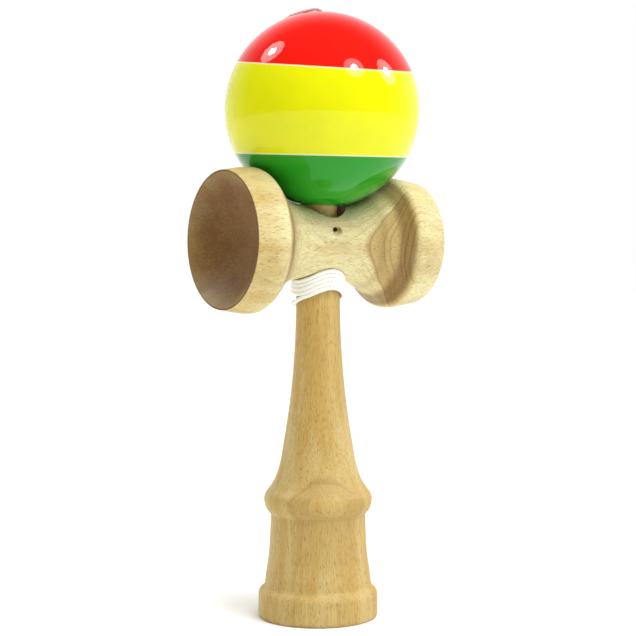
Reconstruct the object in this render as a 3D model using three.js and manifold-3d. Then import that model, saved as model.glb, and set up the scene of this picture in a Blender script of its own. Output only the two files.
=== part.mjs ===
// A kendama: a turned wooden handle (the ken) with a spike, a crosspiece with two cups (the sarado)
// fitted over the spike, and a painted wooden ball (the tama) resting on the spike, tied on by a string.
// Millimetres, +Z up. The origin is the centre of the base, on the surface that the toy stands on.
// The crosspiece's big cup faces -X, its small cup +X, and its front string hole -Y.
import * as THREE from 'three';
import { mergeVertices } from 'three/addons/utils/BufferGeometryUtils.js';
import Module from 'manifold-3d';

const wasm = await Module();
wasm.setup();

// Driving dimensions: ball
const BALL_RADIUS = 30.2;
const BALL_CENTRE = [0.9, -0.9, 158.35]; // off the spike's axis, within the ball's play
const BALL_LEAN = THREE.MathUtils.degToRad(4.4); // its top leans towards -Y
const BORE_RADIUS = 7.9;
const BORE_TOP = 9.5; // end of the straight bore above the ball's centre
const BORE_MOUTH_RADIUS = 8.2;
const DRILL_POINT_RISE = 4.5;
const TOP_HOLE_RADIUS = 1.6;
const TOP_HOLE_MOUTH = 2.3;
const TOP_HOLE_FLARE = 0.9; // how far down the hole narrows from its mouth

// Driving dimensions: handle
const BASE_RIM_OUTER = 18;
const BASE_RIM_INNER = 15.6;
const BASE_CUP_DEPTH = 8;
const NECK_RADIUS = 6.85;
const TENON_START = 106.4;
const TENON_RADIUS = 6.7;
const SPIKE_START = 128;
const SPIKE_RADIUS = 5.9;
const SPIKE_TIP_HEIGHT = 162.6;

// Driving dimensions: crosspiece
const CROSS_HEIGHT = 117.6; // height of its axis
const CROSS_HALF_LENGTH = 34.75;
const CROSS_TILT = THREE.MathUtils.degToRad(1.2); // it sits slightly off square on the taper
const CROSS_BORE_RADIUS = 7.1;
const CROSS_OPENING_RADIUS = 8.4; // the bore's wider top, round the spike
const CROSS_OPENING_FLOOR = 5.5; // the wider part begins this far above the crosspiece's axis
const WAIST_RADIUS = 11.2;
const BIG_CUP = { lip: 20.6, rim: 21.2, shoulder: 22.3, depth: 8.5 };
const SMALL_CUP = { lip: 18.9, rim: 19.5, shoulder: 20.7, depth: 7.5 };

// Driving dimensions: string and its holes
const STRING_RADIUS = 0.65;
const STRING_GAP = 0.3;
const STRING_HOLE_HEIGHT = CROSS_HEIGHT + 3.8;
const FRONT_HOLE_RADIUS = 0.8;
const COUNTERSINK_RADIUS = 1.65;
const COUNTERSINK_DEPTH = 0.9;
const REAR_HOLE_RADIUS = 1.1;
const KEN_HOLE_RADIUS = 0.9;
const POCKET_RADIUS = 1.7;
const POCKET_FLOOR = 1.9;
const KNOT_RADIUS = 1.35;
const WINDING_BOTTOM = 97.8;
const WINDING_TOP = 105.6;

// Driving dimensions: bead
const BEAD_RADIUS = 2.6;
const BEAD_HOLE_RADIUS = 1;
const BEAD_BOTTOM = 8.5; // above the ball's centre, along the ball's axis
const BEAD_HEIGHT = 4.2;

const ROUND_SEGMENTS = 36;
const SMALL_SEGMENTS = 16;
const OVERSHOOT = 2; // how far a cutter runs past what it cuts

const beech = { color: 0xdcb983, roughness: 0.55, metalness: 0 };
const lacquer = { color: 0xe6e000, roughness: 0.08, metalness: 0 };
const cotton = { color: 0xf2f0ea, roughness: 0.9, metalness: 0 };
const beadWood = { color: 0xc9a46c, roughness: 0.5, metalness: 0 };

const kendama = new THREE.Group();

function addPart(name, geometry, finish) {
  const mesh = new THREE.Mesh(geometry, new THREE.MeshStandardMaterial(finish));
  mesh.name = name;
  kendama.add(mesh);
}

// Outline helpers: every outline is a list of [radius, height] points.

function arc(centre, radius, from, to, steps) {
  const start = THREE.MathUtils.degToRad(from);
  const sweep = THREE.MathUtils.degToRad(to - from);
  const points = [];
  for (let i = 0; i <= steps; i += 1) {
    const angle = start + (sweep * i) / steps;
    points.push([centre[0] + radius * Math.cos(angle), centre[1] + radius * Math.sin(angle)]);
  }
  return points;
}

function smooth(points, steps) {
  const curve = new THREE.SplineCurve(points.map(([r, h]) => new THREE.Vector2(r, h)));
  return curve.getPoints(steps).map((point) => [point.x, point.y]);
}

// A shallow spherical hollow, from its deepest point on the axis to the lip.
function dish(lipRadius, lipHeight, depth, inward, steps) {
  const sphere = (lipRadius ** 2 + depth ** 2) / (2 * depth);
  const centre = lipHeight + inward * (depth - sphere);
  const opening = THREE.MathUtils.radToDeg(Math.asin(lipRadius / sphere));
  return arc([0, centre], sphere, inward * 90, inward * (90 - opening), steps);
}

// Turns an outline about +Z. Repeated points are dropped, so no face is left without area.
function turned(outline, segments = ROUND_SEGMENTS) {
  const kept = outline.filter(([r, h], i) => {
    const [lastR, lastH] = i > 0 ? outline[i - 1] : [Infinity, Infinity];
    return Math.hypot(r - lastR, h - lastH) > 1e-6;
  });
  const points = kept.map(([r, h]) => new THREE.Vector2(r < 1e-6 ? 0 : r, h));
  return new THREE.LatheGeometry(points, segments).rotateX(Math.PI / 2);
}

// Solids: manifold-3d joins and cuts them.

function toSolid(geometry) {
  const bare = geometry.clone();
  bare.deleteAttribute('normal');
  bare.deleteAttribute('uv');
  const merged = mergeVertices(bare, 1e-5);
  const corners = merged.index.array;
  const faces = [];
  for (let i = 0; i < corners.length; i += 3) {
    const [a, b, c] = corners.slice(i, i + 3);
    if (a !== b && b !== c && c !== a) {
      faces.push(a, b, c);
    }
  }
  return new wasm.Manifold(new wasm.Mesh({
    numProp: 3,
    vertProperties: new Float32Array(merged.attributes.position.array),
    triVerts: new Uint32Array(faces),
  }));
}

function toGeometry(solid) {
  const mesh = solid.getMesh();
  const geometry = new THREE.BufferGeometry();
  geometry.setAttribute('position', new THREE.BufferAttribute(mesh.vertProperties, mesh.numProp));
  geometry.setIndex(new THREE.BufferAttribute(mesh.triVerts, 1));
  geometry.computeVertexNormals();
  return geometry;
}

// A round drill along Y, from y = from to y = to, at the string holes' height.
function stringDrill(radius, from, to) {
  const drill = new THREE.CylinderGeometry(radius, radius, to - from, SMALL_SEGMENTS);
  return toSolid(drill.translate(0, (from + to) / 2, STRING_HOLE_HEIGHT));
}

// The cone that widens the crosspiece's front string hole at the surface.
function countersink() {
  const slope = (COUNTERSINK_RADIUS - FRONT_HOLE_RADIUS) / COUNTERSINK_DEPTH;
  const wide = COUNTERSINK_RADIUS + slope * OVERSHOOT;
  const length = COUNTERSINK_DEPTH + OVERSHOOT;
  const cone = new THREE.CylinderGeometry(FRONT_HOLE_RADIUS, wide, length, SMALL_SEGMENTS);
  const surface = Math.sqrt(WAIST_RADIUS ** 2 - (STRING_HOLE_HEIGHT - CROSS_HEIGHT) ** 2);
  return toSolid(cone.translate(0, COUNTERSINK_DEPTH - surface - length / 2, STRING_HOLE_HEIGHT));
}

// The handle: base cup, barrel, ring, tapered grip, neck, tenon and spike, turned from one piece.
function kenOutline() {
  const base = [
    [BASE_RIM_OUTER, 0],
    [18.6, 0.6],
    [18.75, 1.6],
    [18.75, 6.8],
    [18.55, 8.1],
    [17.9, 9],
    [17, 9.7],
  ];
  const barrel = smooth([
    [16.7, 10.6],
    [16.35, 14],
    [15.65, 18.5],
    [15.2, 24],
    [14.9, 31],
    [15, 32.6],
  ], 6);
  const ring = smooth([
    [15, 32.6],
    [16.3, 34.3],
    [16.95, 36.9],
    [16.5, 39],
    [14.9, 41.2],
    [13.6, 43.4],
    [12.6, 46],
  ], 10);
  const grip = smooth([
    [12.6, 46],
    [11.9, 48.5],
    [11.25, 52],
    [10, 59.6],
    [8.9, 67.1],
    [8.05, 75],
    [7.45, 82.5],
    [7.05, 90],
    [NECK_RADIUS, 97],
  ], 10);
  const tenon = [
    [NECK_RADIUS, TENON_START - 0.5],
    [TENON_RADIUS, TENON_START],
    [SPIKE_RADIUS, SPIKE_START],
  ];
  const spike = smooth([
    [SPIKE_RADIUS, SPIKE_START],
    [5.55, 136],
    [4.9, 145],
    [3.9, 153.5],
    [2.9, 159.5],
    [1.9, 162],
    [0, SPIKE_TIP_HEIGHT],
  ], 9);
  const cup = dish(BASE_RIM_INNER, 0, BASE_CUP_DEPTH, 1, 6);
  return [...cup, ...base, ...barrel, ...ring, ...grip, ...tenon, ...spike];
}

function ken() {
  const reach = NECK_RADIUS + OVERSHOOT;
  return toGeometry(toSolid(turned(kenOutline()))
    .subtract(stringDrill(KEN_HOLE_RADIUS, -reach, POCKET_FLOOR + OVERSHOOT))
    .subtract(stringDrill(POCKET_RADIUS, POCKET_FLOOR, reach)));
}

// One half of the crosspiece, from the deepest point of its cup to just short of the waist.
// side is -1 for the big cup and +1 for the small one.
function cupOutline(cup, side) {
  const end = side * CROSS_HALF_LENGTH;
  const hollow = dish(cup.lip, end, cup.depth, -side, 6);
  const lip = [
    [cup.rim - 0.2, end],
    [cup.rim, side * (CROSS_HALF_LENGTH - 0.3)],
  ];
  const shoulder = smooth([
    [cup.rim, side * (CROSS_HALF_LENGTH - 0.3)],
    [(cup.rim + cup.shoulder) / 2 + 0.2, side * 29.6],
    [cup.shoulder, side * 26],
    [cup.shoulder - 0.5, side * 24],
    [cup.shoulder - 2.4, side * 21.9],
    [(cup.shoulder + WAIST_RADIUS) / 2 + 0.3, side * 19.6],
    [WAIST_RADIUS + 3.5, side * 16.6],
    [WAIST_RADIUS + 1.75, side * 13.4],
    [WAIST_RADIUS + 0.5, side * 9],
    [WAIST_RADIUS + 0.08, side * 4.5],
  ], 15);
  return [...hollow, ...lip, ...shoulder];
}

// The crosspiece: a waisted spool with a cup at each end, bored for the tenon and for the string.
function sarado() {
  const big = cupOutline(BIG_CUP, -1);
  const small = cupOutline(SMALL_CUP, 1).reverse();
  const spool = toSolid(turned([...big, [WAIST_RADIUS, 0], ...small])
    .rotateY(Math.PI / 2)
    .rotateY(CROSS_TILT)
    .translate(0, 0, CROSS_HEIGHT));
  const reach = WAIST_RADIUS + OVERSHOOT;
  const bore = turned([
    [0, -reach],
    [CROSS_BORE_RADIUS, -reach],
    [CROSS_BORE_RADIUS, CROSS_OPENING_FLOOR],
    [CROSS_OPENING_RADIUS, CROSS_OPENING_FLOOR + 1],
    [CROSS_OPENING_RADIUS, reach],
    [0, reach],
  ]).rotateY(CROSS_TILT).translate(0, 0, CROSS_HEIGHT);
  return toGeometry(spool
    .subtract(toSolid(bore))
    .subtract(countersink())
    .subtract(stringDrill(FRONT_HOLE_RADIUS, -reach, 0))
    .subtract(stringDrill(REAR_HOLE_RADIUS, 0, reach)));
}

// Puts a piece that is made round the ball's centre where the ball rests on the spike.
function leaned(geometry) {
  return geometry.rotateX(BALL_LEAN).translate(...BALL_CENTRE);
}

function onBallAxis(height) {
  const [x, y, z] = BALL_CENTRE;
  return [x, y - height * Math.sin(BALL_LEAN), z + height * Math.cos(BALL_LEAN)];
}

// The ball: a sphere with a spike bore from below, ending in a drill point and the string's top hole.
function tama() {
  const rise = (radius) => Math.sqrt(BALL_RADIUS ** 2 - radius ** 2);
  const mouth = THREE.MathUtils.radToDeg(Math.asin(BORE_MOUTH_RADIUS / BALL_RADIUS)) - 90;
  const top = 90 - THREE.MathUtils.radToDeg(Math.asin(TOP_HOLE_MOUTH / BALL_RADIUS));
  const chamfer = BORE_MOUTH_RADIUS - BORE_RADIUS;
  const start = [BORE_MOUTH_RADIUS, -rise(BORE_MOUTH_RADIUS)];
  const outline = [
    ...arc([0, 0], BALL_RADIUS, mouth, top, 24),
    [TOP_HOLE_RADIUS, rise(TOP_HOLE_MOUTH) - TOP_HOLE_FLARE],
    [TOP_HOLE_RADIUS, BORE_TOP + DRILL_POINT_RISE],
    [BORE_RADIUS, BORE_TOP],
    [BORE_RADIUS, chamfer - rise(BORE_MOUTH_RADIUS)],
    start,
  ];
  return leaned(turned(outline));
}

// The bead that the string's knot pulls against, in the drill point at the top of the bore.
function bead() {
  const middle = BEAD_BOTTOM + BEAD_HEIGHT / 2;
  const half = BEAD_HEIGHT / 2;
  const outline = [
    [BEAD_HOLE_RADIUS, middle - half],
    ...smooth([
      [1.6, middle - half],
      [BEAD_RADIUS, middle - half / 3],
      [BEAD_RADIUS, middle + half / 3],
      [1.6, middle + half],
    ], 6),
    [BEAD_HOLE_RADIUS, middle + half],
    [BEAD_HOLE_RADIUS, middle - half],
  ];
  return leaned(turned(outline, SMALL_SEGMENTS));
}

// The string. It is knotted in the handle's pocket, leaves by the crosspiece's rear hole,
// winds round the neck, rises behind the crosspiece and lies over the ball to its top hole.

function knot(x, y, z) {
  return new THREE.SphereGeometry(KNOT_RADIUS, 12, 8).rotateX(Math.PI / 2).translate(x, y, z);
}

const exitRoute = [
  [0, 5.3, 121.4],
  [0, 10.2, 121.4],
  [0.1, 11.9, 121.15],
  [0.4, 13.2, 120.2],
  [0.7, 13.9, 118.6],
  [1.1, 13.75, 116.5],
  [1.7, 12.9, 114.2],
  [2.6, 11.4, 111.8],
  [3.9, 9.7, 109.5],
  [5.3, 8, 107.6],
];

const ballRoute = [
  [0.2, 9.2, 98.4],
  [1.7, 9.8, 99.3],
  [2.8, 10.8, 101.2],
  [2.8, 12.9, 105],
  [1.7, 15.2, 111],
  [-0.4, 17.8, 118],
  [-3.2, 20.9, 126.5],
  [-6.4, 24, 136],
  [-9.5, 26, 145.4],
  [-11.3, 27.6, 152.9],
  [-12.1, 27.4, 160.5],
  [-12, 25.9, 167.9],
  [-11.1, 22.8, 174.7],
  [-9.3, 18.4, 180.7],
  [-7.2, 13.4, 184.9],
  [-5.6, 10, 187],
  [-4.1, 6.7, 188.4],
  [-1.41, 1.55, 189.48],
  [-0.41, -0.53, 189.42],
  [0.2, -1.78, 188.94],
  [0.65, -2.64, 187.83],
  [0.81, -2.88, 186.38],
  onBallAxis(25),
  onBallAxis(20),
  onBallAxis(14.5),
  onBallAxis(8.6),
];

function cord(route, steps) {
  const path = new THREE.CatmullRomCurve3(route.map((point) => new THREE.Vector3(...point)));
  const corners = [];
  for (let i = 0; i < 8; i += 1) {
    const angle = (i * Math.PI) / 4;
    corners.push(new THREE.Vector2(STRING_RADIUS * Math.cos(angle), STRING_RADIUS * Math.sin(angle)));
  }
  return new THREE.ExtrudeGeometry(new THREE.Shape(corners), { steps, extrudePath: path });
}

// The turns round the neck, as one ring.
function winding() {
  const inner = NECK_RADIUS + STRING_GAP;
  const outer = inner + 2 * STRING_RADIUS;
  const outline = [
    [inner, WINDING_BOTTOM],
    [outer, WINDING_BOTTOM],
    [outer, WINDING_TOP],
    [inner, WINDING_TOP],
    [inner, WINDING_BOTTOM],
  ];
  return turned(outline, 24);
}

addPart('ken', ken(), beech);
addPart('sarado', sarado(), beech);
addPart('tama', tama(), lacquer);
addPart('bead', bead(), beadWood);
addPart('string_knot_ken', knot(0, POCKET_FLOOR + STRING_GAP + KNOT_RADIUS, STRING_HOLE_HEIGHT), cotton);
addPart('string_exit', cord(exitRoute, 9), cotton);
addPart('string_winding', winding(), cotton);
addPart('string_run', cord(ballRoute, 56), cotton);
addPart('string_knot_bead', knot(...onBallAxis(BEAD_BOTTOM - STRING_GAP - KNOT_RADIUS)), cotton);

export default kendama;
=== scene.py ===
# A wooden kendama standing upright, its painted ball on the spike, in a bright white studio.
# Blender 4.5. Metres in the scene; outlines and routes are in millimetres and scaled once, by MM.
# The pieces are made finer than the frame's CAD solids, which they stand for, on the same sizes.
import math

import bmesh
import bpy
from mathutils import Matrix, Vector


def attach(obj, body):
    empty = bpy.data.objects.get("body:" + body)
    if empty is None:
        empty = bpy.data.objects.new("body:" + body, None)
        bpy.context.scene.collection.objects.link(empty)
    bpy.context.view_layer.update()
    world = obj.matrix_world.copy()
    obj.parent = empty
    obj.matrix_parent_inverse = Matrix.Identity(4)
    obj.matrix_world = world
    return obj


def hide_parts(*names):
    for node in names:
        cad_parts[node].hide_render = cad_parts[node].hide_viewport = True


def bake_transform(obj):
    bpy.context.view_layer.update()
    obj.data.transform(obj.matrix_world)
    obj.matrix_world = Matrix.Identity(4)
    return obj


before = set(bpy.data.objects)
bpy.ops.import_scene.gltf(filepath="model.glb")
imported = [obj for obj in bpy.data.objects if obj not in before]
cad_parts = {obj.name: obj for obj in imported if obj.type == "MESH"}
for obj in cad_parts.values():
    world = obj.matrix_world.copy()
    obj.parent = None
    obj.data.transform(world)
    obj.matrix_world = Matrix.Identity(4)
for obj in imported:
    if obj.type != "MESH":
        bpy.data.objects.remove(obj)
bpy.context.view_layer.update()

MM = 0.001

# Ball
BALL_RADIUS = 30.2
BALL_CENTRE = Vector((0.9, -0.9, 158.35))
BALL_LEAN = math.radians(4.4)
BORE_RADIUS = 7.9
BORE_TOP = 9.5
BORE_MOUTH_RADIUS = 8.2
DRILL_POINT_RISE = 4.5
TOP_HOLE_RADIUS = 1.6
TOP_HOLE_MOUTH = 2.3
TOP_HOLE_FLARE = 0.9

# Handle
BASE_RIM_INNER = 15.6
BASE_CUP_DEPTH = 8.0
SPIKE_TIP_HEIGHT = 162.6

# Crosspiece
CROSS_HEIGHT = 117.6
CROSS_HALF_LENGTH = 34.75
CROSS_TILT = math.radians(1.2)
CROSS_BORE_RADIUS = 7.1
CROSS_OPENING_RADIUS = 8.4
CROSS_OPENING_FLOOR = 5.5
WAIST_RADIUS = 11.2
BIG_CUP = {"lip": 20.6, "rim": 21.2, "shoulder": 22.3, "depth": 8.5}
SMALL_CUP = {"lip": 18.9, "rim": 19.5, "shoulder": 20.7, "depth": 7.5}

# String and its holes
STRING_RADIUS = 0.65
STRING_LAY = 4.2
STRING_STEP = 0.3
STRING_HOLE_HEIGHT = 121.4
FRONT_HOLE_RADIUS = 0.8
COUNTERSINK_RADIUS = 1.65
COUNTERSINK_DEPTH = 0.9
REAR_HOLE_RADIUS = 1.1
KEN_HOLE_RADIUS = 0.9
POCKET_RADIUS = 1.7
POCKET_FLOOR = 1.9
KNOT_SIZE = 0.75
KNOT_CORD_RADIUS = 0.5
KNOT_LAY = 2.6
KEN_KNOT_DEPTH = 3.55
BEAD_KNOT_DROP = 1.65
WINDING_RADIUS = 7.8
WINDING_PITCH = 1.28
WINDING_START = math.radians(20)
WINDING_END = math.radians(130 - 5 * 360)
WINDING_LEAD_OUT = 3.4

# Bead
BEAD_RADIUS = 2.6
BEAD_END_RADIUS = 1.6
BEAD_HOLE_RADIUS = 1.0
BEAD_BOTTOM = 8.5
BEAD_HEIGHT = 4.2

BALL_AXIS = Vector((0.0, -math.sin(BALL_LEAN), math.cos(BALL_LEAN)))
BALL_PLACE = Matrix.Translation(BALL_CENTRE) @ Matrix.Rotation(BALL_LEAN, 4, "X")

# Camera
CAMERA_AZIMUTH = math.radians(-33.76)
CAMERA_DISTANCE = 0.5279
CAMERA_HEIGHT = 0.1234
CAMERA_PITCH = math.radians(3.21)
CAMERA_LENS = 95.8

CAMERA_RIGHT = Vector((math.cos(CAMERA_AZIMUTH), math.sin(CAMERA_AZIMUTH), 0.0))
CAMERA_SIDE = Vector((math.sin(CAMERA_AZIMUTH), -math.cos(CAMERA_AZIMUTH), 0.0))

ROUND_SEGMENTS = 192


# Scene helpers

def make_object(name, mesh):
    piece = bpy.data.objects.new(name, mesh)
    bpy.context.scene.collection.objects.link(piece)
    return piece


def add_camera():
    data = bpy.data.cameras.new("camera")
    data.lens = CAMERA_LENS
    data.sensor_width = 36.0
    data.clip_start = 0.01
    camera = bpy.data.objects.new("camera", data)
    camera.location = CAMERA_SIDE * CAMERA_DISTANCE + Vector((0.0, 0.0, CAMERA_HEIGHT))
    camera.rotation_euler = (math.pi / 2 - CAMERA_PITCH, 0.0, CAMERA_AZIMUTH)
    bpy.context.scene.collection.objects.link(camera)
    bpy.context.scene.camera = camera


# Outlines: lists of (radius, height) in millimetres

def smooth(points, steps_each):
    """A Catmull-Rom curve through the points, in steps_each steps from one point to the next."""
    curve = []
    last = len(points) - 1
    for i in range(last):
        before = Vector(points[max(i - 1, 0)])
        start = Vector(points[i])
        end = Vector(points[i + 1])
        after = Vector(points[min(i + 2, last)])
        leave = (end - before) / 2
        arrive = (after - start) / 2
        for step in range(steps_each):
            t = step / steps_each
            curve.append(
                start * (2 * t**3 - 3 * t**2 + 1)
                + leave * (t**3 - 2 * t**2 + t)
                + end * (3 * t**2 - 2 * t**3)
                + arrive * (t**3 - t**2)
            )
    curve.append(Vector(points[last]))
    return curve


def arc(centre, radius, start, end, steps):
    angles = [start + (end - start) * i / steps for i in range(steps + 1)]
    return [Vector((centre[0] + radius * math.cos(a), centre[1] + radius * math.sin(a))) for a in angles]


def dish(lip_radius, lip_height, depth, inward, steps=28):
    """A shallow spherical hollow, from its deepest point on the axis to the lip."""
    sphere = (lip_radius**2 + depth**2) / (2 * depth)
    centre = lip_height + inward * (depth - sphere)
    opening = math.asin(lip_radius / sphere)
    return arc((0, centre), sphere, inward * math.pi / 2, inward * (math.pi / 2 - opening), steps)


def turned(name, outline, segments=ROUND_SEGMENTS):
    """A closed solid turned about +Z. Its outline starts and ends on the axis, or closes on itself."""
    bm = bmesh.new()
    rings = []
    for radius, height in outline:
        if radius < 1e-6:
            rings.append([bm.verts.new((0, 0, height))])
            continue
        angles = [2 * math.pi * i / segments for i in range(segments)]
        rings.append([bm.verts.new((radius * math.cos(a), radius * math.sin(a), height)) for a in angles])
    for lower, upper in zip(rings, rings[1:]):
        for i in range(segments):
            j = (i + 1) % segments
            corners = [
                lower[i % len(lower)],
                lower[j % len(lower)],
                upper[j % len(upper)],
                upper[i % len(upper)],
            ]
            unique = list(dict.fromkeys(corners))
            if len(unique) > 2:
                bm.faces.new(unique)
    bmesh.ops.remove_doubles(bm, verts=bm.verts, dist=1e-5)
    bmesh.ops.recalc_face_normals(bm, faces=bm.faces)
    mesh = bpy.data.meshes.new(name)
    bm.to_mesh(mesh)
    bm.free()
    return make_object(name, mesh)


def along_string_holes(cutter):
    """Lays a cutter that is made along Z along Y instead, at the string holes' height."""
    turned_over = Matrix.Rotation(-math.pi / 2, 4, "X")
    cutter.data.transform(Matrix.Translation((0, 0, STRING_HOLE_HEIGHT)) @ turned_over)
    return cutter


def drill(radius, start, end, segments=48):
    """A cutter along Y at the string holes' height, from y = start to y = end."""
    outline = [(0, start), (radius, start), (radius, end), (0, end)]
    return along_string_holes(turned("drill", outline, segments))


def countersink(margin=2):
    """The cone that widens the crosspiece's front string hole, and runs on past its surface."""
    surface = -math.sqrt(WAIST_RADIUS**2 - (STRING_HOLE_HEIGHT - CROSS_HEIGHT) ** 2)
    slope = (COUNTERSINK_RADIUS - FRONT_HOLE_RADIUS) / COUNTERSINK_DEPTH
    outer = [(0, surface - margin), (COUNTERSINK_RADIUS + margin * slope, surface - margin)]
    inner = [(FRONT_HOLE_RADIUS, surface + COUNTERSINK_DEPTH), (0, surface + COUNTERSINK_DEPTH)]
    return along_string_holes(turned("countersink", outer + inner, 48))


def cut(piece, cutters):
    """Cuts each cutter out of the piece for good, and deletes the cutter."""
    for cutter in cutters:
        modifier = piece.modifiers.new("cut", "BOOLEAN")
        modifier.operation = "DIFFERENCE"
        modifier.solver = "EXACT"
        modifier.object = cutter
        graph = bpy.context.evaluated_depsgraph_get()
        mesh = bpy.data.meshes.new_from_object(piece.evaluated_get(graph))
        piece.modifiers.clear()
        piece.data = mesh
        bpy.data.objects.remove(cutter)


def finish_piece(piece, material, body, nodes, crease=35):
    """Scales a piece to metres, shades it smooth between sharp creases and ties it to its body; a piece
    on a blend only has its place baked in.
    body is a body's name, or a blend's two bodies and its start and end, which are not used."""
    piece.data.transform(Matrix.Scale(MM, 4))
    piece.data.shade_smooth()
    piece.data.set_sharp_from_angle(angle=math.radians(crease))
    piece.data.materials.clear()
    piece.data.materials.append(material)
    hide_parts(*nodes)
    if isinstance(body, str):
        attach(piece, body)
    else:
        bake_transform(piece)


# Shader helpers

def new_material(name):
    material = bpy.data.materials.new(name)
    material.use_nodes = True
    shader = material.node_tree.nodes["Principled BSDF"]
    return material, material.node_tree, shader


def feed(tree, socket, value):
    if isinstance(value, bpy.types.NodeSocket):
        tree.links.new(value, socket)
    else:
        socket.default_value = value


def math_node(tree, operation, first, second=0.0, clamp=False):
    node = tree.nodes.new("ShaderNodeMath")
    node.operation = operation
    node.use_clamp = clamp
    feed(tree, node.inputs[0], first)
    feed(tree, node.inputs[1], second)
    return node.outputs[0]


def ramp_between(tree, value, low, high, start=0.0, end=1.0):
    """start below low, end above high, and a smooth step between."""
    node = tree.nodes.new("ShaderNodeMapRange")
    node.interpolation_type = "SMOOTHSTEP"
    feed(tree, node.inputs["Value"], value)
    feed(tree, node.inputs["From Min"], low)
    feed(tree, node.inputs["From Max"], high)
    feed(tree, node.inputs["To Min"], start)
    feed(tree, node.inputs["To Max"], end)
    return node.outputs["Result"]


def mix_colour(tree, factor, first, second, blend="MIX"):
    node = tree.nodes.new("ShaderNodeMix")
    node.data_type = "RGBA"
    node.blend_type = blend
    sockets = {socket.identifier: socket for socket in list(node.inputs) + list(node.outputs)}
    feed(tree, sockets["Factor_Float"], factor)
    feed(tree, sockets["A_Color"], first)
    feed(tree, sockets["B_Color"], second)
    return sockets["Result_Color"]


def toned(tree, colour, tone):
    """The colour made darker or lighter by a tone, where 1 leaves it as it is."""
    return mix_colour(tree, 1.0, colour, combine(tree, tone, tone, tone), "MULTIPLY")


def dot(tree, vector, direction):
    node = tree.nodes.new("ShaderNodeVectorMath")
    node.operation = "DOT_PRODUCT"
    feed(tree, node.inputs[0], vector)
    node.inputs[1].default_value = direction
    return node.outputs["Value"]


def combine(tree, x, y, z):
    node = tree.nodes.new("ShaderNodeCombineXYZ")
    feed(tree, node.inputs["X"], x)
    feed(tree, node.inputs["Y"], y)
    feed(tree, node.inputs["Z"], z)
    return node.outputs["Vector"]


def scaled(tree, vector, factors):
    node = tree.nodes.new("ShaderNodeVectorMath")
    node.operation = "MULTIPLY"
    feed(tree, node.inputs[0], vector)
    node.inputs[1].default_value = factors
    return node.outputs["Vector"]


def noise(tree, vector, detail=2.0, roughness=0.5):
    node = tree.nodes.new("ShaderNodeTexNoise")
    feed(tree, node.inputs["Vector"], vector)
    node.inputs["Scale"].default_value = 1.0
    node.inputs["Detail"].default_value = detail
    node.inputs["Roughness"].default_value = roughness
    return node.outputs["Fac"]


def object_place(tree, centre_mm=(0.0, 0.0, 0.0)):
    """The place on the piece in millimetres, measured from a point of the frame."""
    coordinates = tree.nodes.new("ShaderNodeTexCoord")
    node = tree.nodes.new("ShaderNodeMapping")
    node.vector_type = "POINT"
    feed(tree, node.inputs["Vector"], coordinates.outputs["Object"])
    node.inputs["Scale"].default_value = (1 / MM, 1 / MM, 1 / MM)
    node.inputs["Location"].default_value = [-value for value in centre_mm]
    return node.outputs["Vector"]


def bump(tree, height, distance_mm, strength):
    node = tree.nodes.new("ShaderNodeBump")
    node.inputs["Distance"].default_value = distance_mm * MM
    node.inputs["Strength"].default_value = strength
    feed(tree, node.inputs["Height"], height)
    return node.outputs["Normal"]


# Beech. Rings are cylinders round the tree's pith, which lies off to one side of the piece, so that
# turning cuts them into the arcs that real turned wood shows.

PALE = (0.73, 0.665, 0.355, 1.0)
HONEY = (0.495, 0.322, 0.081, 1.0)
LATE_WOOD = (0.33, 0.20, 0.06, 1.0)
FLECK = (0.27, 0.125, 0.028, 1.0)
END_GRAIN = (0.305, 0.17, 0.053, 1.0)
DARK_RINGS = (0.47, 0.315, 0.095, 1.0)
RING_SWAY = 5.0  # millimetres from one side of a wandering ring to the other
RING_UNEVENNESS = 2.2  # how many rings' widths the spacing drifts by
FAINT_RINGS = 0.35  # strength of the rings outside the dark band
RINGS_LOST_END_ON = 0.75  # the part of that strength that end grain loses


def end_on_face(tree, grain, end_range):
    """0 on a face along the fibres, 1 on a face that they meet end on."""
    normal = tree.nodes.new("ShaderNodeNewGeometry").outputs["Normal"]
    facing = math_node(tree, "ABSOLUTE", dot(tree, normal, grain))
    return ramp_between(tree, facing, *end_range)


def distance_from_pith(tree, wood, out, side, pith_distance):
    """How far a place is from the pith, in millimetres, with the rings' slow sway added."""
    sway = noise(tree, scaled(tree, wood, (0.045, 0.045, 0.012)), 2.0)
    sway = math_node(tree, "MULTIPLY", math_node(tree, "SUBTRACT", sway, 0.5), RING_SWAY)
    depth = math_node(tree, "ADD", out, pith_distance)
    depth_squared = math_node(tree, "POWER", depth, 2.0)
    squares = math_node(tree, "ADD", depth_squared, math_node(tree, "POWER", side, 2.0))
    return math_node(tree, "ADD", math_node(tree, "SQRT", squares), sway)


def growth_rings(tree, wood, distance, ring_width, ring_strength):
    """Late wood: each ring darkens slowly outwards and ends sharply, more clearly in some places."""
    uneven = noise(tree, combine(tree, math_node(tree, "MULTIPLY", distance, 0.42), 0.0, 0.0), 1.0)
    rings = math_node(tree, "DIVIDE", distance, ring_width)
    rings = math_node(tree, "ADD", rings, math_node(tree, "MULTIPLY", uneven, RING_UNEVENNESS))
    phase = math_node(tree, "FRACT", rings)
    rise = math_node(tree, "POWER", ramp_between(tree, phase, 0.3, 0.95), 2.0)
    fall = ramp_between(tree, phase, 0.96, 1.0, 1.0, 0.0)
    ring = math_node(tree, "MULTIPLY", rise, fall)
    clarity = noise(tree, scaled(tree, wood, (0.09, 0.07, 0.02)), 1.0)
    clarity = ramp_between(tree, clarity, 0.36, 0.62, 0.18, 1.0)
    return math_node(tree, "MULTIPLY", math_node(tree, "MULTIPLY", ring, clarity), ring_strength)


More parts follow.
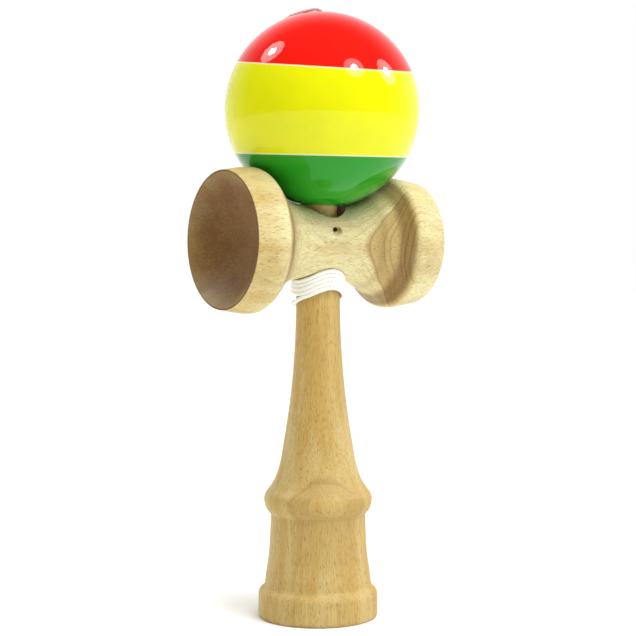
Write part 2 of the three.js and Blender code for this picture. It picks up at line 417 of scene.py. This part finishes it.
def dark_band(tree, beyond, along, dark_rings, dark_stretch):
    """1 in the run of darker rings, 0 elsewhere, with soft edges."""
    across_rings = math_node(
        tree, "MULTIPLY",
        ramp_between(tree, beyond, dark_rings[0] - 0.4, dark_rings[0] + 0.4),
        ramp_between(tree, beyond, dark_rings[1] - 1.5, dark_rings[1] + 1.0, 1.0, 0.0),
    )
    along_grain = math_node(
        tree, "MULTIPLY",
        ramp_between(tree, along, dark_stretch[0] - 6.0, dark_stretch[0]),
        ramp_between(tree, along, dark_stretch[1] - 1.0, dark_stretch[1] + 1.5, 1.0, 0.0),
    )
    return math_node(tree, "MULTIPLY", across_rings, along_grain)


def faded_outside_band(tree, ring, band, end_on):
    """The rings as they are in the dark band, and fainter elsewhere, above all on end grain."""
    ring = math_node(tree, "MULTIPLY", ring, ramp_between(tree, band, 0.0, 1.0, FAINT_RINGS, 1.0))
    hidden = math_node(tree, "SUBTRACT", 1.0, band)
    hidden = math_node(tree, "MULTIPLY", math_node(tree, "MULTIPLY", hidden, end_on), RINGS_LOST_END_ON)
    return math_node(tree, "MULTIPLY", ring, math_node(tree, "SUBTRACT", 1.0, hidden))


def rays_and_pores(tree, wood):
    """Short dark marks along the fibres: the middles of some cells of a stretched cell pattern."""
    cells = tree.nodes.new("ShaderNodeTexVoronoi")
    cells.inputs["Scale"].default_value = 1.0
    feed(tree, cells.inputs["Vector"], scaled(tree, wood, (2.5, 2.5, 0.42)))
    mark = ramp_between(tree, cells.outputs["Distance"], 0.18, 0.4, 1.0, 0.0)
    pick = tree.nodes.new("ShaderNodeSeparateColor")
    feed(tree, pick.inputs["Color"], cells.outputs["Color"])
    chosen = ramp_between(tree, pick.outputs["Red"], 0.3, 0.65)
    return math_node(tree, "MULTIPLY", mark, chosen)


def end_grain_colour(tree, wood, colour):
    """The colour on end grain, which is darker and streaked from the pith outwards."""
    streak = noise(tree, scaled(tree, wood, (0.8, 3.2, 0.3)), 4.0, 0.65)
    tone = ramp_between(tree, streak, 0.32, 0.68, 0.72, 1.25)
    return toned(tree, mix_colour(tree, 1.0, colour, END_GRAIN, "MULTIPLY"), tone)


def beech(name, grain, outward, centre, pith_distance, ring_width, ring_strength,
          honey_range, dark_rings, dark_stretch, end_range, honey_and_shade_along=None):
    """grain is the fibres' direction, and outward the direction from the pith through centre.
    honey_range says how much of the honey colour the palest and the deepest drifts have, and
    honey_and_shade_along between which places along the grain more of it comes in: the wood's
    deeper colour and also painted shade. dark_rings is a run of darker rings, from one distance to
    another outward from centre, and dark_stretch where along the grain they show. end_range says
    how squarely a face crosses the fibres where it starts to look like end grain, and where it fully
    does."""
    material, tree, shader = new_material(name)
    grain = Vector(grain).normalized()
    outward = Vector(outward).normalized()
    place = object_place(tree, centre)
    along = dot(tree, place, grain)
    out = dot(tree, place, outward)
    side = dot(tree, place, grain.cross(outward).normalized())
    wood = combine(tree, out, side, along)
    end_on = end_on_face(tree, grain, end_range)

    distance = distance_from_pith(tree, wood, out, side, pith_distance)
    beyond = math_node(tree, "SUBTRACT", distance, pith_distance)
    band = dark_band(tree, beyond, along, dark_rings, dark_stretch)
    ring = growth_rings(tree, wood, distance, ring_width, ring_strength)
    ring = faded_outside_band(tree, ring, band, end_on)

    # broad drifts of colour along the grain, and where asked, more honey towards one end: the wood's
    # deeper colour there and also painted shade on that end
    drift = noise(tree, scaled(tree, wood, (0.16, 0.16, 0.011)), 3.0, 0.55)
    honey = ramp_between(tree, drift, 0.34, 0.66, *honey_range)
    # more honey colour between two places along the grain: partly the wood's own colour, partly painted
    # shade
    if honey_and_shade_along:
        more = ramp_between(tree, along, *honey_and_shade_along, 0.0, 0.45)
        honey = math_node(tree, "ADD", honey, more, clamp=True)
    colour = mix_colour(tree, honey, PALE, HONEY)
    colour = mix_colour(tree, math_node(tree, "MULTIPLY", band, 0.8), colour, DARK_RINGS)
    colour = mix_colour(tree, ring, colour, LATE_WOOD)

    fibre = noise(tree, scaled(tree, wood, (3.4, 3.4, 0.22)), 3.0, 0.6)
    colour = toned(tree, colour, ramp_between(tree, fibre, 0.3, 0.7, 0.86, 1.1))
    fleck = rays_and_pores(tree, wood)
    colour = mix_colour(tree, math_node(tree, "MULTIPLY", fleck, 0.62), colour, FLECK)
    colour = mix_colour(tree, end_on, colour, end_grain_colour(tree, wood, colour))
    feed(tree, shader.inputs["Base Color"], colour)

    # bare, finely sanded surface
    feed(tree, shader.inputs["Roughness"], ramp_between(tree, fibre, 0.25, 0.75, 0.5, 0.62))
    shader.inputs["Specular IOR Level"].default_value = 0.35
    relief = math_node(tree, "SUBTRACT", math_node(tree, "MULTIPLY", fibre, 0.35), fleck)
    feed(tree, shader.inputs["Normal"], bump(tree, relief, 0.05, 0.6))
    return material


# The ball's paint: red above, yellow, green below, with a thin cream line at each join. Each join is
# a plane, given by its height above the ball's centre and its fall to the right and to the front.

RED = (0.79, 0.009, 0.004, 1.0)
YELLOW = (0.73, 0.735, 0.002, 1.0)
GREEN = (0.014, 0.28, 0.010, 1.0)
CREAM = (0.86, 0.80, 0.52, 1.0)
RAW_WOOD = (0.55, 0.37, 0.17, 1.0)
RAW_WOOD_LIGHT = (0.72, 0.54, 0.3, 1.0)
UPPER_JOIN = {"height": 13.3, "fall_right": math.radians(3.4), "fall_front": math.radians(5.2)}
LOWER_JOIN = {"height": -13.85, "fall_right": math.radians(1.3), "fall_front": math.radians(2.3)}
LINE_WIDTH = 0.42
PAINT_EDGE = 0.05


def above_join(tree, place, join):
    """How far a place is above a join's plane, in millimetres."""
    normal = Vector((0.0, 0.0, 1.0))
    normal += CAMERA_RIGHT * math.tan(join["fall_right"])
    normal += CAMERA_SIDE * math.tan(join["fall_front"])
    level = dot(tree, place, normal)
    return math_node(tree, "SUBTRACT", level, join["height"])


def inside_bore(tree, place):
    """1 in the ball's bore, where the wood is bare, and 0 on its painted skin."""
    around = tree.nodes.new("ShaderNodeVectorMath")
    around.operation = "CROSS_PRODUCT"
    feed(tree, around.inputs[0], place)
    around.inputs[1].default_value = BALL_AXIS
    length = tree.nodes.new("ShaderNodeVectorMath")
    length.operation = "LENGTH"
    feed(tree, length.inputs[0], around.outputs["Vector"])
    height = dot(tree, place, BALL_AXIS)
    radius = length.outputs["Value"]
    in_bore = ramp_between(tree, radius, BORE_RADIUS + 0.2, BORE_RADIUS + 0.4, 1.0, 0.0)
    below_skin = ramp_between(tree, height, BALL_RADIUS - 2.2, BALL_RADIUS - 1.4, 1.0, 0.0)
    return math_node(tree, "MULTIPLY", in_bore, below_skin)


def ball_paint():
    material, tree, shader = new_material("ball_paint")
    place = object_place(tree, BALL_CENTRE)
    upper = above_join(tree, place, UPPER_JOIN)
    lower = above_join(tree, place, LOWER_JOIN)
    is_red = ramp_between(tree, upper, -PAINT_EDGE, PAINT_EDGE)
    is_green = ramp_between(tree, lower, -PAINT_EDGE, PAINT_EDGE, 1.0, 0.0)
    colour = mix_colour(tree, is_red, YELLOW, RED)
    colour = mix_colour(tree, is_green, colour, GREEN)
    line = 0.0
    half_line = LINE_WIDTH / 2
    for level in (upper, lower):
        away = math_node(tree, "ABSOLUTE", level)
        near = ramp_between(tree, away, half_line - PAINT_EDGE, half_line + PAINT_EDGE, 1.0, 0.0)
        line = math_node(tree, "MAXIMUM", line, near)
    colour = mix_colour(tree, math_node(tree, "MULTIPLY", line, 0.8), colour, CREAM)
    tone = noise(tree, scaled(tree, place, (0.12, 0.12, 0.12)), 2.0)
    colour = toned(tree, colour, ramp_between(tree, tone, 0.3, 0.7, 0.985, 1.01))
    bare = inside_bore(tree, place)
    streak = noise(tree, scaled(tree, place, (2.5, 2.5, 0.2)), 3.0)
    wood = mix_colour(tree, streak, RAW_WOOD, RAW_WOOD_LIGHT)
    colour = mix_colour(tree, bare, colour, wood)
    feed(tree, shader.inputs["Base Color"], colour)

    # a thick clear coat, which the bare wood lacks
    shader.inputs["Roughness"].default_value = 0.6
    shader.inputs["Specular IOR Level"].default_value = 0.0
    feed(tree, shader.inputs["Coat Weight"], ramp_between(tree, bare, 0.0, 1.0, 1.0, 0.0))
    shader.inputs["Coat Roughness"].default_value = 0.03
    shader.inputs["Coat IOR"].default_value = 1.36
    ripple = noise(tree, scaled(tree, place, (0.35, 0.35, 0.35)), 2.0)
    paint_step = math_node(tree, "ADD", math_node(tree, "MULTIPLY", is_red, 0.6), is_green)
    relief = math_node(tree, "ADD", math_node(tree, "MULTIPLY", ripple, 0.3), paint_step)
    soft = bump(tree, relief, 0.03, 0.35)
    feed(tree, shader.inputs["Normal"], soft)
    feed(tree, shader.inputs["Coat Normal"], soft)
    return material


STRING_WHITE = (0.92, 0.91, 0.89, 1.0)


def string_fibre():
    material, tree, shader = new_material("string_fibre")
    place = object_place(tree)
    fuzz = noise(tree, scaled(tree, place, (6.0, 6.0, 6.0)), 4.0, 0.65)
    colour = toned(tree, STRING_WHITE, ramp_between(tree, fuzz, 0.3, 0.7, 0.9, 1.0))
    feed(tree, shader.inputs["Base Color"], colour)
    shader.inputs["Roughness"].default_value = 0.85
    shader.inputs["Sheen Weight"].default_value = 0.3
    shader.inputs["Subsurface Weight"].default_value = 0.2
    shader.inputs["Subsurface Radius"].default_value = (0.001, 0.001, 0.001)
    feed(tree, shader.inputs["Normal"], bump(tree, fuzz, 0.05, 0.5))
    return material


# The string's route: knot, rear hole, turns round the neck, up behind, over the ball, top hole, bead.

EXIT_ROUTE = [
    (0, 5.3, 121.4),
    (0, 10.2, 121.4),
    (0.1, 11.9, 121.15),
    (0.4, 13.2, 120.2),
    (0.7, 13.9, 118.6),
    (1.1, 13.75, 116.5),
    (1.7, 12.9, 114.2),
    (2.6, 11.4, 111.8),
    (3.9, 9.7, 109.5),
    (5.3, 8, 107.6),
    (6.5, 5.9, 106.6),
]

BALL_ROUTE = [
    (0.2, 9.2, 98.4),
    (1.7, 9.8, 99.3),
    (2.8, 10.8, 101.2),
    (2.8, 12.9, 105),
    (1.7, 15.2, 111),
    (-0.4, 17.8, 118),
    (-3.2, 20.9, 126.5),
    (-6.4, 24, 136),
    (-9.5, 26, 145.4),
    (-11.3, 27.6, 152.9),
    (-12.1, 27.4, 160.5),
    (-12, 25.9, 167.9),
    (-11.1, 22.8, 174.7),
    (-9.3, 18.4, 180.7),
    (-7.2, 13.4, 184.9),
    (-5.6, 10, 187),
    (-4.1, 6.7, 188.4),
    (-1.41, 1.55, 189.48),
    (-0.41, -0.53, 189.42),
    (0.2, -1.78, 188.94),
    (0.65, -2.64, 187.83),
    (0.81, -2.88, 186.38),
    BALL_CENTRE + BALL_AXIS * 25,
    BALL_CENTRE + BALL_AXIS * 20,
    BALL_CENTRE + BALL_AXIS * 14.5,
    BALL_CENTRE + BALL_AXIS * 8.6,
]


def under_crosspiece(azimuth):
    """The height of a string's centre that is pulled up against the crosspiece at that azimuth."""
    gap = 0.08 + 0.35 * math.cos(azimuth) ** 2
    reach = WAIST_RADIUS + STRING_RADIUS + gap
    return CROSS_HEIGHT - math.sqrt(reach**2 - (WINDING_RADIUS * math.sin(azimuth)) ** 2)


def smooth_step(value):
    t = min(max(value, 0.0), 1.0)
    return t * t * (3 - 2 * t)


def winding_route(steps_each_turn=24):
    """The turns, clockwise from above. The string follows the saddle, drops to the next turn behind the
    neck, and sinks a little more where it leaves."""
    ends_after = (WINDING_START - WINDING_END) / (2 * math.pi)
    count = round(ends_after * steps_each_turn)
    route = []
    for i in range(count + 1):
        turns = i / steps_each_turn
        azimuth = WINDING_START - turns * 2 * math.pi
        dropped = math.floor(turns) + smooth_step((turns % 1 - 0.7) / 0.25)
        leaving = smooth_step((turns - ends_after + 0.2) / 0.2)
        x = WINDING_RADIUS * math.cos(azimuth)
        y = WINDING_RADIUS * math.sin(azimuth)
        z = under_crosspiece(azimuth) - WINDING_PITCH * dropped - WINDING_LEAD_OUT * leaving
        route.append((x, y, z))
    return route


def even_path(points, spacing):
    """The same path with its points about spacing apart, with the arc length kept even."""
    path = [points[0]]
    left = spacing
    for start, end in zip(points, points[1:]):
        length = (end - start).length
        while left < length:
            path.append(start.lerp(end, left / length))
            left += spacing
        left -= length
    path.append(points[-1])
    return path


GROOVE_DEPTH = 0.12  # between two strands, as a part of the cord's radius


def twisted_cord(name, path, radius, lay_length, sides=21, strands=3):
    """A closed tube of twisted strands along the path. Everything is in millimetres."""
    bm = bmesh.new()
    rings = []
    tangent = (path[1] - path[0]).normalized()
    across = tangent.orthogonal().normalized()
    travelled = 0.0
    for i, point in enumerate(path):
        ahead = path[min(i + 1, len(path) - 1)] - path[max(i - 1, 0)]
        turn = tangent.rotation_difference(ahead.normalized())
        across = (turn @ across).normalized()
        tangent = ahead.normalized()
        upward = tangent.cross(across)
        ring = []
        for k in range(sides):
            angle = 2 * math.pi * k / sides
            lobe = abs(math.cos(strands / 2 * (angle - 2 * math.pi * travelled / lay_length)))
            reach = radius * (1 - GROOVE_DEPTH + GROOVE_DEPTH * lobe**0.7)
            direction = across * math.cos(angle) + upward * math.sin(angle)
            ring.append(bm.verts.new(point + reach * direction))
        rings.append(ring)
        if i + 1 < len(path):
            travelled += (path[i + 1] - point).length
    for ring, following in zip(rings, rings[1:]):
        for k in range(sides):
            j = (k + 1) % sides
            bm.faces.new((ring[k], ring[j], following[j], following[k]))
    bm.faces.new(list(reversed(rings[0])))
    bm.faces.new(rings[-1])
    bmesh.ops.recalc_face_normals(bm, faces=bm.faces)
    mesh = bpy.data.meshes.new(name)
    bm.to_mesh(mesh)
    bm.free()
    return make_object(name, mesh)


def knot(name, centre):
    """A small overhand knot: a trefoil of string, pulled tight."""
    points = []
    steps = 96
    for i in range(steps + 1):
        t = 2 * math.pi * i / steps
        x = math.sin(t) + 2 * math.sin(2 * t)
        y = math.cos(t) - 2 * math.cos(2 * t)
        points.append(Vector(centre) + KNOT_SIZE * Vector((x / 3, y / 3, -math.sin(3 * t) / 2)))
    return twisted_cord(name, even_path(points, STRING_STEP / 2), KNOT_CORD_RADIUS, KNOT_LAY, 15)


def add_string(material):
    knot_ken = knot("knot_in_handle", (0, KEN_KNOT_DEPTH, STRING_HOLE_HEIGHT))
    finish_piece(knot_ken, material, "ken", ["string_knot_ken"])
    knot_bead = knot("knot_under_bead", BALL_CENTRE + BALL_AXIS * (BEAD_BOTTOM - BEAD_KNOT_DROP))
    finish_piece(knot_bead, material, "bead", ["string_knot_bead"])

    route = EXIT_ROUTE + winding_route() + BALL_ROUTE
    path = even_path(smooth(route, 10), STRING_STEP)
    string = twisted_cord("string", path, STRING_RADIUS, STRING_LAY)
    stretch = {"from": "ken", "to": "bead", "start": (0, 0, 0.1225), "end": (0, 0, 0.157)}
    finish_piece(string, material, stretch, ["string_exit", "string_winding", "string_run"])


# Wooden pieces

def ken_outline():
    base_cup = dish(BASE_RIM_INNER, 0, BASE_CUP_DEPTH, 1)
    base = smooth([
        (18, 0), (18.45, 0.25), (18.72, 1), (18.75, 2),
        (18.75, 6.4), (18.6, 7.9), (18.1, 8.8), (17, 9.7),
    ], 4)
    barrel = smooth([
        (16.7, 10.6), (16.35, 14), (15.65, 18.5),
        (15.2, 24), (14.9, 31), (15, 32.6),
    ], 12)
    ring = smooth([
        (15, 32.6), (16.3, 34.3), (16.95, 36.9), (16.5, 39),
        (14.9, 41.2), (13.6, 43.4), (12.6, 46),
    ], 8)
    grip = smooth([
        (12.6, 46), (11.9, 48.5), (11.25, 52), (10, 59.6), (8.9, 67.1),
        (8.05, 75), (7.45, 82.5), (7.05, 90), (6.85, 97),
    ], 10)
    tenon = [(6.85, 105.9), (6.7, 106.4)]
    spike = smooth([
        (5.9, 128), (5.55, 136), (4.9, 145), (3.9, 153.5),
        (2.9, 159.5), (1.9, 162), (0, SPIKE_TIP_HEIGHT),
    ], 8)
    return base_cup + base + barrel + ring[1:] + grip[1:] + tenon + spike


def add_ken(material):
    piece = turned("handle", ken_outline())
    reach = 9  # past the tenon's surface, front and back
    string_hole = drill(KEN_HOLE_RADIUS, -reach, POCKET_FLOOR + 2)
    pocket = drill(POCKET_RADIUS, POCKET_FLOOR, reach)
    cut(piece, [string_hole, pocket])
    finish_piece(piece, material, "ken", ["ken"])


def cup_outline(cup, side):
    """Half of the crosspiece. side is -1 for the big cup and +1 for the small one."""
    end = CROSS_HALF_LENGTH
    rim = cup["rim"]
    shoulder = cup["shoulder"]
    lip = [(cup["lip"] + 0.2, end), (rim - 0.2, end), (rim - 0.06, end - 0.1), (rim, end - 0.3)]
    flare = smooth([
        (rim, end - 0.3),
        ((rim + shoulder) / 2 + 0.2, 29.6),
        (shoulder, 26),
        (shoulder - 0.5, 24),
        (shoulder - 2.4, 21.9),
        ((shoulder + WAIST_RADIUS) / 2 + 0.3, 19.6),
        (WAIST_RADIUS + 3.5, 16.6),
        (WAIST_RADIUS + 1.75, 13.4),
        (WAIST_RADIUS + 0.5, 9),
        (WAIST_RADIUS + 0.08, 4.5),
    ], 8)
    outer = [Vector((radius, side * height)) for radius, height in lip + flare[1:]]
    return dish(cup["lip"], side * end, cup["depth"], -side) + outer


def add_sarado(material):
    place = Matrix.Translation((0, 0, CROSS_HEIGHT)) @ Matrix.Rotation(CROSS_TILT, 4, "Y")
    outline = cup_outline(BIG_CUP, -1) + [Vector((WAIST_RADIUS, 0))] + cup_outline(SMALL_CUP, 1)[::-1]
    piece = turned("crosspiece", outline)
    piece.data.transform(place @ Matrix.Rotation(math.pi / 2, 4, "Y"))
    reach = WAIST_RADIUS + 2
    bore = turned("bore", [
        (0, -reach),
        (CROSS_BORE_RADIUS, -reach),
        (CROSS_BORE_RADIUS, CROSS_OPENING_FLOOR),
        (CROSS_OPENING_RADIUS, CROSS_OPENING_FLOOR + 1),
        (CROSS_OPENING_RADIUS, reach),
        (0, reach),
    ], 96)
    bore.data.transform(place)
    front_hole = drill(FRONT_HOLE_RADIUS, -reach, 0)
    rear_hole = drill(REAR_HOLE_RADIUS, 0, reach)
    cut(piece, [bore, countersink(), front_hole, rear_hole])
    finish_piece(piece, material, "ken", ["sarado"])


def add_tama(material):
    mouth_height = -math.sqrt(BALL_RADIUS**2 - BORE_MOUTH_RADIUS**2)
    top_height = math.sqrt(BALL_RADIUS**2 - TOP_HOLE_MOUTH**2)
    start = math.atan2(mouth_height, BORE_MOUTH_RADIUS)
    end = math.atan2(top_height, TOP_HOLE_MOUTH)
    rounded_top = [
        (TOP_HOLE_MOUTH - 0.2, top_height - 0.12),
        (TOP_HOLE_RADIUS, top_height - TOP_HOLE_FLARE),
    ]
    rounded_mouth = [(BORE_RADIUS, mouth_height + 0.7), (BORE_RADIUS + 0.15, mouth_height + 0.25)]
    outline = [
        *arc((0, 0), BALL_RADIUS, start, end, 150),
        *rounded_top,
        (TOP_HOLE_RADIUS, BORE_TOP + DRILL_POINT_RISE),
        (BORE_RADIUS, BORE_TOP),
        *rounded_mouth,
        (BORE_MOUTH_RADIUS, mouth_height),
    ]
    piece = turned("ball", outline, 256)
    piece.data.transform(BALL_PLACE)
    finish_piece(piece, material, "tama", ["tama"], 30)


def add_bead(material):
    middle = BEAD_BOTTOM + BEAD_HEIGHT / 2
    half = BEAD_HEIGHT / 2
    side = smooth([
        (BEAD_END_RADIUS, middle - half),
        (BEAD_RADIUS, middle - half / 3),
        (BEAD_RADIUS, middle + half / 3),
        (BEAD_END_RADIUS, middle + half),
    ], 10)
    outline = [
        (BEAD_HOLE_RADIUS, middle - half),
        *side,
        (BEAD_HOLE_RADIUS, middle + half),
        (BEAD_HOLE_RADIUS, middle - half),
    ]
    piece = turned("bead_inside", outline, 64)
    piece.data.transform(BALL_PLACE)
    finish_piece(piece, material, "bead", ["bead"])


# Studio

def add_floor():
    bm = bmesh.new()
    bmesh.ops.create_circle(bm, cap_ends=True, segments=96, radius=2.5)
    mesh = bpy.data.meshes.new("floor")
    bm.to_mesh(mesh)
    bm.free()
    floor = make_object("floor", mesh)
    material, tree, shader = new_material("floor")
    shader.inputs["Base Color"].default_value = (0.93, 0.93, 0.915, 1.0)
    shader.inputs["Roughness"].default_value = 0.8
    shader.inputs["Specular IOR Level"].default_value = 0.1
    mesh.materials.append(material)


def add_world():
    """A white tent that lights the object most from behind and below. The camera sees it plain white."""
    world = bpy.data.worlds.new("studio")
    bpy.context.scene.world = world
    world.use_nodes = True
    tree = world.node_tree
    background = tree.nodes["Background"]
    coordinates = tree.nodes.new("ShaderNodeTexCoord")
    bright = (CAMERA_RIGHT * 0.05 - Vector((0, 0, 0.4)) - CAMERA_SIDE * 0.8).normalized()
    level = dot(tree, coordinates.outputs["Generated"], bright)
    light = ramp_between(tree, level, -0.2, 0.65, 0.14, 1.0)
    seen = tree.nodes.new("ShaderNodeLightPath").outputs["Is Camera Ray"]
    strength = tree.nodes.new("ShaderNodeMix")
    feed(tree, strength.inputs["Factor"], seen)
    feed(tree, strength.inputs["A"], light)
    feed(tree, strength.inputs["B"], 1.0)
    background.inputs["Color"].default_value = (1.0, 1.0, 1.0, 1.0)
    feed(tree, background.inputs["Strength"], strength.outputs["Result"])


def add_lamp(name, right, front, up, distance, size, power):
    """A round lamp aimed at the ball, in the direction (right, front, up) as the camera sees it."""
    target = BALL_CENTRE * MM
    direction = (CAMERA_RIGHT * right + CAMERA_SIDE * front + Vector((0, 0, up))).normalized()
    data = bpy.data.lights.new(name, "AREA")
    data.shape = "DISK"
    data.size = size
    data.energy = power
    lamp = bpy.data.objects.new(name, data)
    lamp.location = target + direction * distance
    lamp.rotation_euler = direction.to_track_quat("Z", "Y").to_euler()
    bpy.context.scene.collection.objects.link(lamp)
    return lamp


def add_far_light(name, right, front, up, energy, angle):
    """A broad even light from far away, which shows in no reflection."""
    direction = (CAMERA_RIGHT * right + CAMERA_SIDE * front + Vector((0, 0, up))).normalized()
    data = bpy.data.lights.new(name, "SUN")
    data.energy = energy
    data.angle = math.radians(angle)
    light = bpy.data.objects.new(name, data)
    light.rotation_euler = direction.to_track_quat("Z", "Y").to_euler()
    light.visible_glossy = False
    bpy.context.scene.collection.objects.link(light)


def add_reflection(name, right, front, up):
    """A round lamp with a brighter middle, which shows only as a reflection."""
    halo = add_lamp(name, right, front, up, distance=1.3, size=0.5, power=4.0)
    core = add_lamp(name + "_core", right, front, up, distance=1.28, size=0.17, power=5.4)
    halo.visible_diffuse = False
    core.visible_diffuse = False


def add_lights():
    key = add_lamp("key", right=0.6, front=0.62, up=0.75, distance=0.6, size=0.45, power=1.9)
    key.visible_glossy = False
    add_far_light("overhead", right=0.25, front=0.15, up=0.88, energy=3.1, angle=60)
    add_far_light("left_rim", right=-0.75, front=-0.6, up=0.15, energy=1.0, angle=50)
    add_far_light("left_fill", right=-0.9, front=0.1, up=0.5, energy=0.45, angle=40)
    add_reflection("lamp_left", right=-0.64, front=-0.12, up=0.76)
    add_reflection("lamp_front", right=0.54, front=0.49, up=0.68)
    add_reflection("lamp_right", right=0.85, front=-0.08, up=0.51)


bpy.context.scene.view_settings.view_transform = "Standard"

add_camera()
add_string(string_fibre())
add_ken(beech(
    "beech_handle",
    grain=(0, 0, 1),
    outward=(-0.35, -0.94, 0),
    centre=(0, 0, 60),
    pith_distance=46,
    ring_width=2.6,
    ring_strength=0.4,
    honey_range=(0.7, 1.0),
    dark_rings=(12.5, 16),
    dark_stretch=(-40, 60),
    end_range=(0.8, 1.0),
))
add_sarado(beech(
    "beech_crosspiece",
    grain=(1, 0, 0),
    outward=(0, -0.98, -0.2),
    centre=(0, 0, CROSS_HEIGHT),
    pith_distance=70,
    ring_width=1.4,
    ring_strength=0.65,
    honey_range=(0.0, 0.4),
    dark_rings=(11.7, 20.3),
    dark_stretch=(5, 24.5),
    end_range=(0.42, 0.9),
    # more honey towards the big cup's end: the wood's deeper colour there, and also painted shade on that
    # end of the crosspiece
    honey_and_shade_along=(-22, -32),
))
add_tama(ball_paint())
add_bead(beech(
    "beech_bead",
    grain=(0, 0, 1),
    outward=(0, 1, 0),
    centre=BALL_CENTRE,
    pith_distance=30,
    ring_width=1.2,
    ring_strength=0.6,
    honey_range=(0.7, 1.0),
    dark_rings=(1, 2),
    dark_stretch=(0, 4),
    end_range=(0.6, 1.0),
))
add_floor()
add_world()
add_lights()
